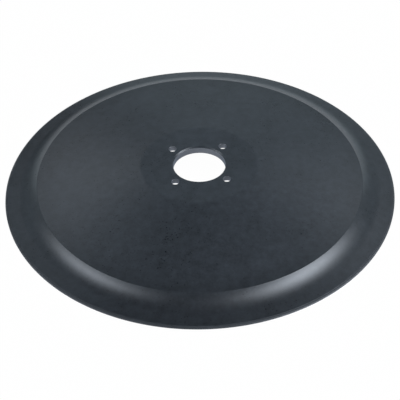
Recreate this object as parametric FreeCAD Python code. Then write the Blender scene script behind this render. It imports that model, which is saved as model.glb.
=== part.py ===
"""Circular blade of a food slicer: one dished steel disc with a coved bevel, a
flat hub with a bore, and countersunk screw holes.

Millimetres, +Z up. The cutting edge is a circle in the plane Z = 0, its centre
is the origin, and +Z points along the bore, out of the mounting face.
"""
import FreeCAD, Part
import math
import os

# Overall
edge_diameter = 300.0      # cutting circle
height = 22.5              # mounting face above the cutting plane

# Hub, the flat middle that seats on the drive flange
hub_diameter = 85.5        # flat mounting face
hub_thickness = 6.0        # between the two flat faces
hub_back_inset = 2.5       # the back face's flat is this much smaller all round
bore_diameter = 40.0
bore_chamfer = 1.0         # lead-in at the mounting face
bore_back_chamfer = 0.2

# Screw holes, countersunk from the back so that the heads sit inside the dish
screw_count = 4
screw_inset = 7.5          # bore wall to screw axis
screw_hole = 6.0
screw_head = 10.4          # countersink where it leaves the back face
screw_head_angle = 90.0
screw_start_angle = 45.0

# Crown, the shallow dome from the hub down to the ring
crown_bulge = 0.25         # rise of the dome above a straight cone
crown_wall = 3.6           # half way between hub and ring
ring_wall = 4.0            # at the ring

# Bevel: a cove at the foot of the sharp ring, then a flat cone out to the land
bevel_width = 25.0         # ring to edge, measured radially
bevel_height = 10.3        # ring above the cutting plane
bevel_angle = 13.0         # of the cone, from the cutting plane
cove_width = 14.0          # ring to cone, measured radially
bevel_wall = 3.8           # below a straight line from ring to land
land_width = 2.0           # bright land along the edge, measured radially
land_height = 1.3

# Back of the edge
relief_angle = 8.0         # from the cutting plane
ring_turn = 2.5            # where the rounding of the inner corner starts, before it
relief_turn = 2.5


def point(at):
    return FreeCAD.Vector(at[0], 0, at[1])


def beside(a, b, share, rise):
    """Point a share of the way from a out to b, lifted square off that line."""
    along = (b[0] - a[0], b[1] - a[1])
    lift = rise / math.hypot(*along)
    return (
        a[0] + share * along[0] - lift * along[1],
        a[1] + share * along[1] + lift * along[0],
    )


def short_of(a, b, gap):
    """Point on the line from a to b that stops a gap before b."""
    return beside(a, b, 1 - gap / math.dist(a, b), 0)


def crossing(a, b, c, d):
    """Point where the line through a and b meets the line through c and d."""
    u = (b[0] - a[0], b[1] - a[1])
    v = (d[0] - c[0], d[1] - c[1])
    turn = u[0] * v[1] - u[1] * v[0]
    share = ((c[0] - a[0]) * v[1] - (c[1] - a[1]) * v[0]) / turn
    return beside(a, b, share, 0)


class Section:
    """Half section of the disc in the XZ plane, drawn from point to point."""

    def __init__(self, start):
        self.start = start
        self.here = start
        self.edges = []

    def add(self, curve, to):
        self.edges.append(curve.toShape())
        self.here = to

    def line(self, to):
        self.add(Part.LineSegment(point(self.here), point(to)), to)

    def arc(self, through, to, gap=0):
        """Arc through one point to another, which it stops a gap short of."""
        start = point(self.here)
        whole = Part.Arc(start, point(through), point(to)).toShape()
        end = whole.valueAt(whole.getParameterByLength(whole.Length - gap))
        self.add(Part.Arc(start, point(through), end), (end.x, end.z))

    def heading(self):
        """Unit direction in which the last edge ends."""
        last = self.edges[-1]
        tangent = last.tangentAt(last.LastParameter)
        return tangent.x, tangent.z

    def arc_on(self, to):
        """Arc that leaves the last edge without a kink and ends at a point."""
        ahead = self.heading()
        along = (to[0] - self.here[0], to[1] - self.here[1])
        turn = math.atan2(
            ahead[0] * along[1] - ahead[1] * along[0],
            ahead[0] * along[0] + ahead[1] * along[1],
        )
        bow = math.hypot(*along) / 2 * math.tan(turn / 2)
        self.arc(beside(self.here, to, 0.5, -bow), to)

    def turn_onto(self, a, b):
        """Arc that leaves the last edge, and joins the line a b, without a kink."""
        ahead = self.heading()
        ahead = (self.here[0] + ahead[0], self.here[1] + ahead[1])
        corner = crossing(self.here, ahead, a, b)
        reach = math.dist(self.here, corner)
        to = beside(corner, b, reach / math.dist(corner, b), 0)
        middle = beside(self.here, to, 0.5, 0)
        half_chord = math.dist(self.here, middle)
        rise = math.dist(middle, corner)
        bow = rise * half_chord / (half_chord + reach)
        self.arc(beside(middle, corner, bow / rise, 0), to)

    def close(self):
        self.line(self.start)
        return Part.Face(Part.Wire(self.edges))


# Front of the section, from the hub out to the edge
bore_r = bore_diameter / 2
edge = (edge_diameter / 2, 0.0)
land = (edge[0] - land_width, land_height)
ring = (edge[0] - bevel_width, bevel_height)
hub_rim = (hub_diameter / 2, height)
crown_front = beside(hub_rim, ring, 0.5, crown_bulge)
cone_width = bevel_width - land_width - cove_width
cove_foot = (
    ring[0] + cove_width,
    land_height + cone_width * math.tan(math.radians(bevel_angle)),
)

# Back of the section: the front's straight lines, moved in by the wall
back = height - hub_thickness
hub_back = (hub_rim[0] - hub_back_inset, back)
crown_back = beside(hub_rim, ring, 0.5, crown_bulge - crown_wall)
crown_in = (beside(hub_rim, ring, 0, -ring_wall), beside(hub_rim, ring, 1, -ring_wall))
bevel_in = (beside(ring, land, 0, -bevel_wall), beside(ring, land, 1, -bevel_wall))
relief = (edge[0] - 1.0, math.tan(math.radians(relief_angle)))
ring_back = crossing(*crown_in, *bevel_in)
relief_back = crossing(*bevel_in, relief, edge)

section = Section((bore_r + bore_back_chamfer, back))
section.line(hub_back)
section.arc(crown_back, ring_back, ring_turn)
section.turn_onto(*bevel_in)
section.line(short_of(ring_back, relief_back, relief_turn))
section.turn_onto(relief_back, edge)
section.line(edge)
section.line(land)
section.line(cove_foot)
section.arc_on(ring)
section.arc(crown_front, hub_rim)
section.line((bore_r + bore_chamfer, height))
section.line((bore_r, height - bore_chamfer))
section.line((bore_r, back + bore_back_chamfer))
blade = section.close().revolve(FreeCAD.Vector(0, 0, 0), FreeCAD.Vector(0, 0, 1), 360)

# Screw holes
screw_r = bore_r + screw_inset
sink_slope = math.tan(math.radians(screw_head_angle / 2))
sink_depth = (screw_head - screw_hole) / 2 / sink_slope
for number in range(screw_count):
    angle = math.radians(screw_start_angle + number * 360 / screw_count)
    foot = FreeCAD.Vector(screw_r * math.cos(angle), screw_r * math.sin(angle), back)
    hole = Part.makeCylinder(screw_hole / 2, hub_thickness, foot)
    sink = Part.makeCone(screw_head / 2, screw_hole / 2, sink_depth, foot)
    blade = blade.cut(hole.fuse(sink))

os.makedirs("parts", exist_ok=True)
blade.exportStep("parts/blade.step")
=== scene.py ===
"""Looks of a food slicer blade, built around its solid model.

The blade is one turned steel disc with a dark satin coating. Its bore, its
screw holes and a thin line along its cutting edge are bare steel; the rest of
the ground land is coated.
"""
from math import cos, exp, radians, sin

import bpy
import numpy as np
from bpy.props import FloatProperty, FloatVectorProperty, IntProperty, PointerProperty
from mathutils import Matrix, Vector


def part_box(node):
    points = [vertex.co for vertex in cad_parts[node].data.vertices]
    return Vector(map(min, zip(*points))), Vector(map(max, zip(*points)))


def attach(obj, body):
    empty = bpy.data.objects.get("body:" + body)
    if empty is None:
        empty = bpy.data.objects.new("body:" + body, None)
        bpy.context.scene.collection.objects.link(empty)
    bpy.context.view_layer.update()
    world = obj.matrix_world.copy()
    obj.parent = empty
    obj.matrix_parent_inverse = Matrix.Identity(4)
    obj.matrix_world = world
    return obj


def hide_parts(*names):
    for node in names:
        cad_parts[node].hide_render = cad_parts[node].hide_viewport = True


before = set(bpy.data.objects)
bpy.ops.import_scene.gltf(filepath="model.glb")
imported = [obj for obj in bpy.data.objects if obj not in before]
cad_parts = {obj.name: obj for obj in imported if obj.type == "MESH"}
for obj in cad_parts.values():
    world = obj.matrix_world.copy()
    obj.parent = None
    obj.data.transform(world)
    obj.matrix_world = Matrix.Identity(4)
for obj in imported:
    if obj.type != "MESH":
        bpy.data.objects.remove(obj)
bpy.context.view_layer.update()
_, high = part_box("blade")

bl_info = {
    "name": "Food slicer blade",
    "version": (1, 0, 0),
    "blender": (4, 5, 0),
    "location": "3D View > Sidebar > Slicer blade",
    "description": "Builds a coated circular slicer blade and a studio round it",
    "category": "Object",
}

MM = 0.001


# Settings

def length(name, default, about):
    return FloatProperty(
        name=name, description=about, default=default, min=0.0, unit="LENGTH"
    )


def fraction(name, default, about):
    return FloatProperty(name=name, description=about, default=default, min=0.0, max=1.0)


def colour(name, default, about):
    return FloatVectorProperty(
        name=name, description=about, default=default,
        subtype="COLOR", size=3, min=0.0, max=1.0,
    )


class BladeSizes(bpy.types.PropertyGroup):
    """Section of the blade, its bore and its screw holes."""

    edge_radius: length("Edge radius", high.x, "Radius of the cutting circle")
    height: length("Height", high.z, "Mounting face above the cutting plane")
    hub_radius: length("Hub radius", 42.75 * MM, "Flat mounting face")
    hub_thickness: length("Hub thickness", 6.0 * MM, "Between the two flat faces")
    hub_back_radius: length("Hub back radius", 40.25 * MM, "Flat seat in the dish")
    bore_radius: length("Bore radius", 20.0 * MM, "Hole for the drive flange")
    bore_chamfer: length("Bore chamfer", 1.0 * MM, "Chamfer at the mounting face")
    bore_back_chamfer: length("Back chamfer", 0.2 * MM, "Chamfer inside the dish")
    screw_circle: length("Screw circle", 27.5 * MM, "Radius that the holes lie on")
    screw_radius: length("Screw hole radius", 3.0 * MM, "Straight part of a hole")
    head_radius: length("Countersink radius", 5.2 * MM, "Countersink in the dish")
    crown_bulge: length("Crown bulge", 0.25 * MM, "Dome above a straight cone")
    crown_wall: length("Crown wall", 3.6 * MM, "Wall half way out")
    ring_wall: length("Ring wall", 4.0 * MM, "Wall at the ring")
    bevel_width: length("Bevel width", 25.0 * MM, "From the ring to the edge")
    bevel_height: length("Bevel height", 10.3 * MM, "Ring above the cutting plane")
    bevel_angle: FloatProperty(
        name="Bevel angle", description="Cone between cove and land",
        default=radians(13.0), subtype="ANGLE",
    )
    cove_width: length("Cove width", 14.0 * MM, "From the ring to the cone")
    bevel_wall: length("Bevel wall", 3.8 * MM, "Below a line from ring to land")
    land_width: length("Land width", 2.0 * MM, "Ground land along the edge")
    land_height: length("Land height", 1.3 * MM, "Top of the land")
    relief_angle: FloatProperty(
        name="Relief angle", description="Back of the edge",
        default=radians(8.0), subtype="ANGLE",
    )
    ring_break: length("Ring radius", 0.2 * MM, "Rounding of the sharp ring")
    fine_break: length("Edge break", 0.12 * MM, "Rounding of the other corners")
    turns: IntProperty(
        name="Steps round", description="Points round the disc, a multiple of 4",
        default=384, min=64,
    )


class BladeFinish(bpy.types.PropertyGroup):
    """Colours and gloss of the coating and of the bare steel."""

    coating: colour("Coating", (0.0168, 0.0207, 0.0264), "Dark slate non-stick coating")
    coating_gloss: colour("Coating gloss", (0.83, 0.90, 1.0), "Tint of what it mirrors")
    coating_index: FloatProperty(
        name="Coating index", description="Index of refraction", default=1.5, min=1.0
    )
    coating_roughness: fraction("Coating roughness", 0.30, "Satin of the coating")
    rim_shade: fraction("Rim shade", 0.20, "Darkening of the coating at the rim")
    land_dulling: fraction("Land dulling", 0.50, "Added roughness inside the bright edge")
    steel: colour("Steel", (0.27, 0.28, 0.31), "Bare dulled steel")
    steel_roughness: fraction("Steel roughness", 0.34, "Fine ground steel")


class StudioSettings(bpy.types.PropertyGroup):
    """Camera, lamps and floor."""

    camera_distance: length("Camera distance", 0.980, "From the blade's centre")
    camera_elevation: FloatProperty(
        name="Camera elevation", description="Above the floor",
        default=radians(41.125), subtype="ANGLE",
    )
    camera_turn: FloatProperty(
        name="Camera turn", description="Round the blade, from the front",
        default=radians(-3.28), subtype="ANGLE",
    )
    camera_tilt: FloatProperty(
        name="Camera tilt", description="Up from the blade's centre",
        default=radians(-0.638), subtype="ANGLE",
    )
    camera_roll: FloatProperty(
        name="Camera roll", description="About the line of sight",
        default=radians(-0.987), subtype="ANGLE",
    )
    lens: FloatProperty(
        name="Lens", description="Focal length in mm on a 36 mm sensor", default=113.73
    )
    room_light: fraction("Room light", 0.12, "Even light from all round")
    horizon_light: FloatProperty(
        name="Horizon", description="Mirrored backdrop at the horizon", default=1.3
    )
    wall_light: fraction("Wall light", 0.48, "Mirrored walls above the backdrop")
    mirror_tint: colour("Mirrored room", (0.79, 0.94, 1.0), "Cool white of the walls")
    floor_colour: colour("Floor", (0.60, 0.64, 0.68), "Pale cool grey, white in view")
    right_lamp: FloatProperty(
        name="Right lamp", description="Power of the right softbox", default=190.0,
        unit="POWER",
    )
    left_lamp: FloatProperty(
        name="Left lamp", description="Power of the left softbox", default=77.0,
        unit="POWER",
    )


# Section of the disc

def beside(a, b, share, rise):
    """Point a share of the way from a to b, lifted square off that line."""
    along = b - a
    square = np.array([-along[1], along[0]]) / np.hypot(*along)
    return a + share * along + rise * square


def crossing(a, b, c, d):
    """Point where the line through a and b meets the line through c and d."""
    share, _ = np.linalg.solve(np.column_stack([b - a, c - d]), c - a)
    return a + share * (b - a)


def off_line(a, b, point):
    """How far a point lies to the left of the line from a to b."""
    along, away = b - a, point - a
    return (along[0] * away[1] - along[1] * away[0]) / np.hypot(*along)


def bowed(a, b, bulge, steps):
    """Points from a to b on a parabola that stands bulge off the chord half way:
    point = a + t (b - a) + 4 t (1 - t) bulge, square to the chord."""
    t = np.linspace(0, 1, steps + 1)[:, None]
    square = np.array([a[1] - b[1], b[0] - a[0]]) / np.hypot(*(b - a))
    return a + t * (b - a) + 4 * t * (1 - t) * bulge * square


def rounded_path(runs, breaks, steps=4):
    """Joins runs of points into one path. Each corner between two runs is cut
    back by its break and replaced by a parabola that is tangent to both runs:
    point = (1-t)^2 start + 2t(1-t) corner + t^2 end. Gives points and normals,
    which are the tangents turned a quarter left."""
    trimmed = []
    for run, first, last in zip(runs, [0.0, *breaks], [*breaks, 0.0]):
        gap = np.hypot(*np.diff(run, axis=0).T)
        at = np.concatenate([[0], np.cumsum(gap)])
        keep = np.linspace(first, at[-1] - last, len(run))
        trimmed.append(np.column_stack([np.interp(keep, at, run[:, k]) for k in (0, 1)]))
    t = np.linspace(0, 1, steps + 1)[1:-1, None]
    pieces = [trimmed[0]]
    for run, following, corner in zip(trimmed, trimmed[1:], (run[-1] for run in runs)):
        pieces.append(
            (1 - t) ** 2 * run[-1] + 2 * t * (1 - t) * corner + t**2 * following[0]
        )
        pieces.append(following)
    path = np.concatenate(pieces)
    tangent = np.gradient(path, axis=0)
    tangent /= np.hypot(*tangent.T)[:, None]
    return path, np.column_stack([-tangent[:, 1], tangent[:, 0]])


def shell_section(sizes):
    """Path from the rim of the mounting face, over crown, ring, bevel and edge,
    and back inside to the rim of the seat in the dish, and its normals."""
    edge = np.array([sizes.edge_radius, 0.0])
    land = edge + [-sizes.land_width, sizes.land_height]
    ring = edge + [-sizes.bevel_width, sizes.bevel_height]
    hub = np.array([sizes.hub_radius, sizes.height])
    seat = np.array([sizes.hub_back_radius, sizes.height - sizes.hub_thickness])
    crown_in = [beside(hub, ring, s, -sizes.ring_wall) for s in (0, 1)]
    bevel_in = [beside(ring, land, s, -sizes.bevel_wall) for s in (0, 1)]
    relief = edge + [-1.0, np.tan(sizes.relief_angle)]
    ring_back = crossing(*crown_in, *bevel_in)
    relief_back = crossing(*bevel_in, relief, edge)
    cone_width = sizes.bevel_width - sizes.land_width - sizes.cove_width
    slope = np.tan(sizes.bevel_angle)
    cove_foot = land + [-cone_width, cone_width * slope]
    # The cove leaves the cone without a kink
    chord = ring - cove_foot
    turn = np.pi - sizes.bevel_angle - np.arctan2(chord[1], chord[0])
    hollow = np.hypot(*chord) / 2 * np.tan(turn / 2)
    middle = beside(hub, ring, 0.5, sizes.crown_bulge - sizes.crown_wall)
    runs = [
        bowed(hub, ring, sizes.crown_bulge, 24),
        bowed(ring, cove_foot, -hollow, 16),
        bowed(cove_foot, land, 0.0, 4),
        bowed(land, edge, 0.0, 2),
        bowed(edge, relief_back, 0.0, 4),
        bowed(relief_back, ring_back, 0.0, 4),
        bowed(ring_back, seat, off_line(ring_back, seat, middle), 20),
    ]
    fine = sizes.fine_break
    soft = 2.5 * MM
    path, normal = rounded_path(
        runs, [sizes.ring_break, soft / 5, fine, fine / 3, soft, soft]
    )
    normal[0], normal[-1] = (0, 1), (0, -1)
    return path, normal


def hole_section(radius, top, bottom, top_break, sink_radius, sink_depth, fine):
    """Path down the wall of a hole, from its rim on the upper face to its rim on
    the lower one: a straight wall with a chamfer or rounding at the top and a
    chamfer or countersink at the bottom."""
    points = [np.array(p) for p in (
        (radius + top_break + 2 * fine, top),
        (radius + top_break, top),
        (radius, top - top_break),
        (radius, bottom + sink_depth),
        (sink_radius, bottom),
        (sink_radius + 2 * fine, bottom),
    )]
    runs = [bowed(a, b, 0.0, 3) for a, b in zip(points, points[1:])]
    small = min(fine, 0.4 * top_break)
    path, normal = rounded_path(runs, [small, small, fine, fine])
    normal *= -1
    normal[0], normal[-1] = (0, 1), (0, -1)
    return path, normal


# Surfaces

def turned(path, normal, angles, centre=(0.0, 0.0)):
    """Path carried round an upright axis: (x, y, z) = (cx + r cos a, cy + r sin a, z).
    The angles are one row for the whole path or a row for each of its points,
    and close on themselves."""
    c, s = np.cos(angles), np.sin(angles)
    shape = (len(path), c.shape[-1])
    grid = np.stack([
        centre[0] + path[:, :1] * c, centre[1] + path[:, :1] * s,
        np.broadcast_to(path[:, 1:], shape),
    ], axis=-1)
    out = np.stack([
        normal[:, :1] * c, normal[:, :1] * s, np.broadcast_to(normal[:, 1:], shape),
    ], axis=-1)
    return grid, out


def sector_face(inner, outer, circle, rim, height, up, steps, across=12, flare=6):
    """Quarter of a flat ring with a round hole at 45 degrees. Its border runs
    along the outer arc, a straight side, the inner arc and the other side. The
    grid blends from the hole to the border: p = h + s (b - h). On the outer arc
    the hole's point h lies in the direction of the border's point b. The inner
    arc takes 81 degrees of the hole to each side, so that no blend crosses it."""
    quarter = np.linspace(0, np.pi / 2, steps + 1)
    side = np.linspace(outer, inner, across + 1)[1:-1]
    far = np.column_stack([outer * np.cos(quarter), outer * np.sin(quarter)])
    near = np.column_stack([inner * np.cos(quarter), inner * np.sin(quarter)])[::-1]
    down = np.column_stack([0 * side, side])
    back = np.column_stack([side, 0 * side])[::-1]
    border = np.concatenate([far, down, near, back])
    centre = circle * np.array([np.cos(np.pi / 4), np.sin(np.pi / 4)])
    outwards = np.arctan2(far[:, 1] - centre[1], far[:, 0] - centre[0])
    start, end = np.radians(225.0 - 81.0), np.radians(225.0 + 81.0)
    bearing = np.concatenate([
        outwards,
        np.linspace(outwards[-1], start, across + 1)[1:-1],
        np.linspace(start, end, steps + 1),
        np.linspace(end, outwards[0] + 2 * np.pi, across + 1)[1:-1],
    ])
    hole = centre + rim * np.column_stack([np.cos(bearing), np.sin(bearing)])
    s = (np.linspace(0, 1, flare + 1) ** 1.5)[:, None, None]
    flat = hole + s * (border - hole)
    grid = np.concatenate([flat, np.full(flat.shape[:2] + (1,), height)], axis=-1)
    out = np.zeros_like(grid)
    out[..., 2] = up
    return grid, out, bearing


def quarter_turn(grid, number):
    """The grid turned about the upright axis by a number of quarter turns."""
    c, s = [(1, 0), (0, 1), (-1, 0), (0, -1)][number]
    x, y, z = grid[..., 0], grid[..., 1], grid[..., 2]
    return np.stack([c * x - s * y, s * x + c * y, z], axis=-1)


def closed_mesh(name, patches):
    """One mesh from grids that close along their second direction. Each patch is
    (points, normals, flipped). Points that fall together are joined."""
    points, normals, faces, start = [], [], [], 0
    for grid, out, flipped in patches:
        rows, columns = grid.shape[:2]
        index = start + np.arange(rows * columns).reshape(rows, columns)
        a, b = index[:-1], index[1:]
        c, d = np.roll(b, -1, axis=1), np.roll(a, -1, axis=1)
        quads = np.stack([a, b, c, d], axis=-1).reshape(-1, 4)
        faces.append(quads[:, ::-1] if flipped else quads)
        points.append(grid.reshape(-1, 3))
        normals.append(out.reshape(-1, 3))
        start += rows * columns
    points, normals, faces = map(np.concatenate, (points, normals, faces))
    _, first, where = np.unique(
        np.round(points / 1e-7).astype(np.int64), axis=0,
        return_index=True, return_inverse=True,
    )
    faces = where.reshape(-1)[faces]
    mesh = bpy.data.meshes.new(name)
    mesh.from_pydata(points[first], [], faces)
    mesh.validate()
    mesh.shade_smooth()
    mesh.normals_split_custom_set_from_vertices(normals[first].astype(np.float32))
    piece = bpy.data.objects.new(name, mesh)
    bpy.context.scene.collection.objects.link(piece)
    return piece


def blade_surface(sizes):
    """The whole blade as one closed surface."""
    steps = sizes.turns // 4
    angles = np.arange(sizes.turns) * 2 * np.pi / sizes.turns
    top, bottom = sizes.height, sizes.height - sizes.hub_thickness
    fine = sizes.fine_break
    shell, shell_out = shell_section(sizes)
    bore, bore_out = hole_section(
        sizes.bore_radius, top, bottom, sizes.bore_chamfer,
        sizes.bore_radius + sizes.bore_back_chamfer, sizes.bore_back_chamfer, fine,
    )
    sink = sizes.head_radius - sizes.screw_radius
    hole, hole_out = hole_section(
        sizes.screw_radius, top, bottom, fine, sizes.head_radius, sink, fine
    )
    patches = [
        (*turned(shell, shell_out, angles), False),
        (*turned(bore, bore_out, angles), True),
    ]
    bearings = []
    for height, up, end in ((top, 1, 0), (bottom, -1, -1)):
        face, out, bearing = sector_face(
            bore[end, 0], shell[end, 0], sizes.screw_circle, hole[end, 0],
            height, up, steps,
        )
        bearings.append(bearing)
        for number in range(4):
            patches.append((quarter_turn(face, number), out, up < 0))
    upper, lower = bearings
    # A hole's wall blends between the bearings of the two faces' rims
    share = np.linspace(0, 1, len(hole))[:, None]
    at = upper + share * (lower - upper)
    centre = sizes.screw_circle * np.array([1, 1]) / np.sqrt(2)
    wall, out = turned(hole, hole_out, at, centre)
    for number in range(4):
        patches.append((quarter_turn(wall, number), quarter_turn(out, number), True))
    return closed_mesh("slicer_blade", patches)


# Materials

class Wire:
    """A shader socket that takes part in Python arithmetic."""

    def __init__(self, shop, socket):
        self.shop = shop
        self.socket = socket

    def _do(self, operation, *values):
        return self.shop.node(
            "ShaderNodeMath", {"operation": operation}, dict(enumerate(values))
        )

    def __add__(self, other):
        return self._do("ADD", self, other)

    def __sub__(self, other):
        return self._do("SUBTRACT", self, other)

    def __rsub__(self, other):
        return self._do("SUBTRACT", other, self)

    def __mul__(self, other):
        return self._do("MULTIPLY", self, other)

    def __pow__(self, other):
        return self._do("POWER", self, other)

    def __rpow__(self, other):
        return self._do("POWER", other, self)

    __radd__ = __add__
    __rmul__ = __mul__

    def clip(self):
        return self._do("MINIMUM", self._do("MAXIMUM", self, 0.0), 1.0)

    def most(self, other):
        return self._do("MAXIMUM", self, other)


class Shop:
    """Builds the nodes of one material, of a lamp or of the world."""

    def __init__(self, owner):
        self.owner = owner
        owner.use_nodes = True
        self.tree = owner.node_tree
        self.tree.nodes.clear()

    def node(self, kind, settings=None, inputs=None, output=0):
        """Adds a node: its settings first, then values or wires on its sockets."""
        made = self.tree.nodes.new(kind)
        for key, value in (settings or {}).items():
            setattr(made, key, value)
        for key, value in (inputs or {}).items():
            if isinstance(value, Wire):
                self.tree.links.new(value.socket, made.inputs[key])
            else:
                made.inputs[key].default_value = value
        return Wire(self, made.outputs[output]) if len(made.outputs) else None

    def mix(self, factor, first, second):
        """Blends two colours."""
        return self.node(
            "ShaderNodeMix", {"data_type": "RGBA"},
            {0: factor, 6: first, 7: second}, output=2,
        )

    def blend(self, factor, first, second):
        """Blends two shaders."""
        return self.node("ShaderNodeMixShader", {}, {0: factor, 1: first, 2: second})

    def noise(self, where, scale, detail=2.0, roughness=0.5):
        return self.node("ShaderNodeTexNoise", {}, {
            "Vector": where, "Scale": scale, "Detail": detail, "Roughness": roughness,
        })

    def rise(self, value, low, high):
        """0 below low, 1 above high, and a smooth step between."""
        return self.node(
            "ShaderNodeMapRange", {"interpolation_type": "SMOOTHSTEP"},
            {"Value": value, "From Min": low, "From Max": high},
        )

    def place(self):
        """Object coordinates, radius from the axis and height, in metres."""
        where = self.node("ShaderNodeTexCoord", output=3)
        x, y, z = self.parts(where)
        return where, (x * x + y * y) ** 0.5, x, y, z

    def parts(self, vector):
        """The three components of a vector."""
        split = self.node("ShaderNodeSeparateXYZ", {}, {0: vector}).socket.node
        return [Wire(self, socket) for socket in split.outputs]

    def rays(self):
        """1 on rays from the camera or through glass, and 1 on mirrored rays."""
        path = self.node("ShaderNodeLightPath").socket.node
        camera, passing, mirrored = (
            Wire(self, path.outputs[name])
            for name in ("Is Camera Ray", "Is Transmission Ray", "Is Glossy Ray")
        )
        return camera.most(passing), mirrored

    def finish(self, surface):
        for owner, kind in (
            (bpy.types.Material, "ShaderNodeOutputMaterial"),
            (bpy.types.World, "ShaderNodeOutputWorld"),
            (bpy.types.Light, "ShaderNodeOutputLight"),
        ):
            if isinstance(self.owner, owner):
                self.node(kind, {}, {"Surface": surface})
        return self.owner


def rgba(tint, level=1.0):
    """Four numbers for a colour socket, brighter or darker by a level."""
    return (*(level * c for c in tint), 1.0)


BLACK = rgba((0.0, 0.0, 0.0))
WHITE = rgba((1.0, 1.0, 1.0))


def blade_finish(sizes, finish):
    """Coating and bare steel in one material, parted by radius and height."""
    shop = Shop(bpy.data.materials.new("coated_steel_blade"))
    where, radius, x, y, z = shop.place()

    # Where the steel is bare: cutting edge, bore wall, screw holes
    ragged = shop.noise(where, 900.0, 3.0) - 0.5
    bare_edge = shop.rise(
        radius + ragged * (0.25 * MM),
        sizes.edge_radius - 0.20 * MM, sizes.edge_radius - 0.02 * MM,
    )
    bare_bore = 1 - shop.rise(
        radius, sizes.bore_radius + 0.02 * MM, sizes.bore_radius + 0.15 * MM
    )
    hole_axis = sizes.screw_circle * 0.5**0.5
    across, along = (x * x) ** 0.5 - hole_axis, (y * y) ** 0.5 - hole_axis
    from_hole = (across * across + along * along) ** 0.5
    in_hole = 1 - shop.rise(
        from_hole, sizes.screw_radius + 0.03 * MM, sizes.screw_radius + 0.14 * MM
    )
    in_sink = (1 - shop.rise(
        from_hole, sizes.head_radius - 0.05 * MM, sizes.head_radius + 0.10 * MM
    )) * (1 - shop.rise(z, sizes.height - 1.0 * MM, sizes.height - 0.5 * MM))
    bare = bare_edge.most(bare_bore).most(in_hole).most(in_sink).clip()

    # Coating, from its faint cloudiness down to its fine grain, darker at the rim
    cloud = shop.noise(where, 26.0, 3.0, 0.55)
    mottle = shop.noise(where, 190.0, 2.0, 0.6)
    fleck = shop.noise(where, 620.0, 3.0, 0.75)
    grain = shop.noise(where, 2600.0, 2.0, 0.6)
    shade = (cloud - 0.5) * 0.5 + (mottle - 0.5) * 0.9 + (fleck - 0.5) * 0.7 + 0.5
    coat = shop.mix(shade.clip(), rgba(finish.coating, 0.35), rgba(finish.coating, 1.65))
    on_rim = shop.rise(radius, sizes.edge_radius - 42 * MM, sizes.edge_radius - 26 * MM)
    coat = shop.mix(on_rim * finish.rim_shade, coat, BLACK)

    # Steel, with the rings that turning and grinding leave
    section = shop.node("ShaderNodeCombineXYZ", {}, {0: radius, 1: z})
    rings = shop.noise(section, 9000.0)
    worn = shop.noise(where, 320.0, 3.0)
    metal = shop.mix(
        (rings * 0.5 + worn * 0.5).clip(),
        rgba(finish.steel, 0.78), rgba(finish.steel, 1.12),
    )

    # The land is dull but for a thin line along the edge
    land = sizes.edge_radius - sizes.land_width
    on_land = shop.rise(radius, land, land + 0.2 * MM) * (
        1 - 0.55 * shop.rise(radius, land + 0.6 * MM, land + 1.1 * MM)
    )
    rough_coat = (
        finish.coating_roughness + (fleck - 0.5) * 0.14 + (cloud - 0.5) * 0.05
        + on_land * finish.land_dulling
    )
    rough_steel = finish.steel_roughness + (rings - 0.5) * 0.12
    rough = rough_coat * (1 - bare) + rough_steel * bare
    height = (grain * 0.010 + fleck * 0.012) * (1 - bare) + rings * bare * 0.006
    bump = shop.node("ShaderNodeBump", {}, {
        "Strength": 0.6, "Distance": MM, "Height": height,
    })
    skin = shop.node("ShaderNodeBsdfPrincipled", {}, {
        "Base Color": shop.mix(bare, coat, metal), "Roughness": rough, "Metallic": bare,
        "Normal": bump, "IOR": finish.coating_index,
        "Specular Tint": rgba(finish.coating_gloss),
    })
    return shop.finish(skin)


def floor_finish(studio):
    """Pale floor, lit in part from within like a light table, so that the dish
    gets light too. The camera sees it white but for the blade's faint shadow."""
    shop = Shop(bpy.data.materials.new("pale_floor"))
    seen, _ = shop.rays()
    where = shop.node("ShaderNodeTexCoord", output=3)
    grain = shop.noise(where, 40.0, 2.0)
    pale = shop.mix(grain, rgba(studio.floor_colour, 0.97), rgba(studio.floor_colour, 1.03))
    lit = shop.node("ShaderNodeBsdfDiffuse", {}, {"Color": pale})
    glow = shop.node("ShaderNodeEmission", {}, {
        "Color": shop.mix(seen, rgba(studio.floor_colour), WHITE),
    })
    table = shop.blend(0.6 + seen * 0.385, lit, glow)
    # From below the floor lets the dish be seen
    below = shop.node("ShaderNodeNewGeometry", output=6)
    return shop.finish(shop.blend(below, table, shop.node("ShaderNodeBsdfTransparent")))


def softbox_glow(lamp):
    """A softbox is brightest in its middle: glow = 4 exp(-4 d^2), where d is 0 in
    the middle and 1 at the rim. The first 4 keeps the lamp's power."""
    shop = Shop(lamp)
    u, v, _ = shop.parts(shop.node("ShaderNodeNewGeometry", output=5))
    u, v = u * 2 - 1, v * 2 - 1
    glow = 4 * exp(-4) ** (u * u + v * v)
    return shop.finish(shop.node("ShaderNodeEmission", {}, {"Strength": glow}))


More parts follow.
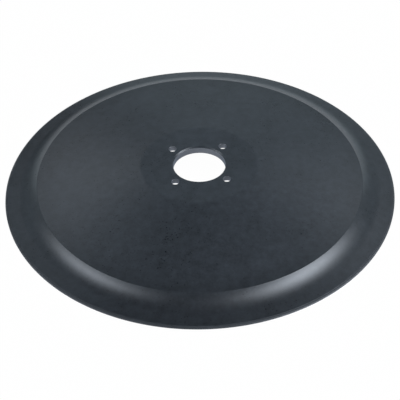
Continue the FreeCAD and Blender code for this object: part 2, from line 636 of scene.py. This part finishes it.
def room_light(studio):
    """Even light from all round. The camera sees plain white. What mirrors the
    room sees a bright backdrop at the horizon, dim walls and a dark ceiling.
    Directions are unit vectors, so up is the sine of the elevation."""
    shop = Shop(bpy.data.worlds.new("studio"))
    seen, mirrored = shop.rays()
    east, north, up = shop.parts(shop.node("ShaderNodeTexCoord"))
    backdrop = 1 - shop.rise(up, 0.0, 0.25)
    ceiling = shop.rise(up, 0.68, 0.97)
    wall = studio.wall_light * (0.65 + 0.35 * shop.rise(up, 0.25, 0.45))
    wall = (wall + backdrop * (studio.horizon_light - studio.wall_light)) * (1 - ceiling)
    # A dim doorway behind the blade
    bearing = radians(107.0)
    c, s = cos(bearing), sin(bearing)
    towards, across = east * c + north * s, north * c - east * s
    off_middle = (across * across) ** 0.5
    doorway = shop.rise(towards, 0.2, 0.5) * (1 - shop.rise(off_middle, 0.04, 0.27))
    wall = wall * (1 - 0.9 * doorway * (1 - shop.rise(up, 0.42, 0.66)))
    strength = seen + mirrored * wall + (1 - seen - mirrored) * studio.room_light
    return shop.finish(shop.node("ShaderNodeBackground", {}, {
        "Color": shop.mix(mirrored, WHITE, rgba(studio.mirror_tint)),
        "Strength": strength,
    }))


# Operators

class SLICER_OT_blade(bpy.types.Operator):
    """Build the coated blade in place of the plain solid"""

    bl_idname = "slicer.blade"
    bl_label = "Blade"

    def execute(self, context):
        sizes = context.scene.blade_sizes
        blade = blade_surface(sizes)
        blade.data.materials.append(blade_finish(sizes, context.scene.blade_finish))
        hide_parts("blade")
        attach(blade, "root")
        return {"FINISHED"}


class SLICER_OT_stage(bpy.types.Operator):
    """Build the floor, the lamps and the camera"""

    bl_idname = "slicer.stage"
    bl_label = "Stage"

    def execute(self, context):
        studio = context.scene.blade_studio
        self.floor(studio)
        context.scene.world = room_light(studio)
        # Name, power, bearing, elevation and lean in degrees, size
        for softbox in (
            ("right_softbox", studio.right_lamp, -12.5, 49.0, -55.0, (5.6, 3.4)),
            ("left_softbox", studio.left_lamp, 181.5, 47.0, 45.0, (5.6, 2.4)),
            ("back_softbox", 4.2, 54.0, 44.0, -53.0, (3.2, 1.0)),
            ("far_softbox", 5.0, 111.5, 40.0, -25.0, (1.0, 4.0)),
        ):
            self.softbox(*softbox)
        self.camera(context, studio)
        return {"FINISHED"}

    def floor(self, studio):
        half = 6.0
        mesh = bpy.data.meshes.new("floor")
        corners = [(-half, -half, 0), (half, -half, 0), (half, half, 0), (-half, half, 0)]
        mesh.from_pydata(corners, [], [(0, 1, 2, 3)])
        mesh.materials.append(floor_finish(studio))
        floor = bpy.data.objects.new("floor", mesh)
        bpy.context.scene.collection.objects.link(floor)

    def softbox(self, name, power, bearing, elevation, lean, size, distance=4.0):
        """Oval lamp that faces the blade, turned by its lean in its own plane."""
        lamp = bpy.data.lights.new(name, "AREA")
        lamp.shape = "ELLIPSE"
        lamp.size, lamp.size_y = size
        lamp.energy = power
        softbox_glow(lamp)
        softbox = bpy.data.objects.new(name, lamp)
        turn = Matrix.Rotation(radians(bearing), 4, "Z")
        lift = Matrix.Rotation(-radians(elevation), 4, "Y")
        place = turn @ lift @ Vector((distance, 0, 0))
        facing = (-place).to_track_quat("-Z", "Y").to_matrix().to_4x4()
        lean = Matrix.Rotation(radians(lean), 4, "Z")
        softbox.matrix_world = Matrix.Translation(place) @ facing @ lean
        bpy.context.scene.collection.objects.link(softbox)

    def camera(self, context, studio):
        lens = bpy.data.cameras.new("camera")
        lens.sensor_width = 36.0
        lens.lens = studio.lens
        camera = bpy.data.objects.new("camera", lens)
        aim = (
            Matrix.Rotation(studio.camera_turn, 4, "Z")
            @ Matrix.Rotation(radians(90) - studio.camera_elevation, 4, "X")
        )
        camera.matrix_world = (
            aim
            @ Matrix.Translation((0, 0, studio.camera_distance))
            @ Matrix.Rotation(studio.camera_tilt, 4, "X")
            @ Matrix.Rotation(studio.camera_roll, 4, "Z")
        )
        context.scene.collection.objects.link(camera)
        context.scene.camera = camera
        context.scene.view_settings.view_transform = "Standard"


class SLICER_PT_panel(bpy.types.Panel):
    """Lists the blade's operators and settings"""

    bl_idname = "SLICER_PT_panel"
    bl_label = "Slicer blade"
    bl_space_type = "VIEW_3D"
    bl_region_type = "UI"
    bl_category = "Slicer blade"

    def draw(self, context):
        for operator, group in (
            (SLICER_OT_blade, context.scene.blade_sizes),
            (None, context.scene.blade_finish),
            (SLICER_OT_stage, context.scene.blade_studio),
        ):
            if operator:
                self.layout.operator(operator.bl_idname)
            for name in group.bl_rna.properties.keys():
                if name not in ("rna_type", "name"):
                    self.layout.prop(group, name)


GROUPS = {
    "blade_sizes": BladeSizes,
    "blade_finish": BladeFinish,
    "blade_studio": StudioSettings,
}
CLASSES = (*GROUPS.values(), SLICER_OT_blade, SLICER_OT_stage, SLICER_PT_panel)


def register():
    for item in CLASSES:
        bpy.utils.register_class(item)
    for name, group in GROUPS.items():
        setattr(bpy.types.Scene, name, PointerProperty(type=group))


def unregister():
    for name in GROUPS:
        delattr(bpy.types.Scene, name)
    for item in reversed(CLASSES):
        bpy.utils.unregister_class(item)


def main():
    register()
    bpy.ops.slicer.blade()
    bpy.ops.slicer.stage()


if __name__ == "__main__":
    main()
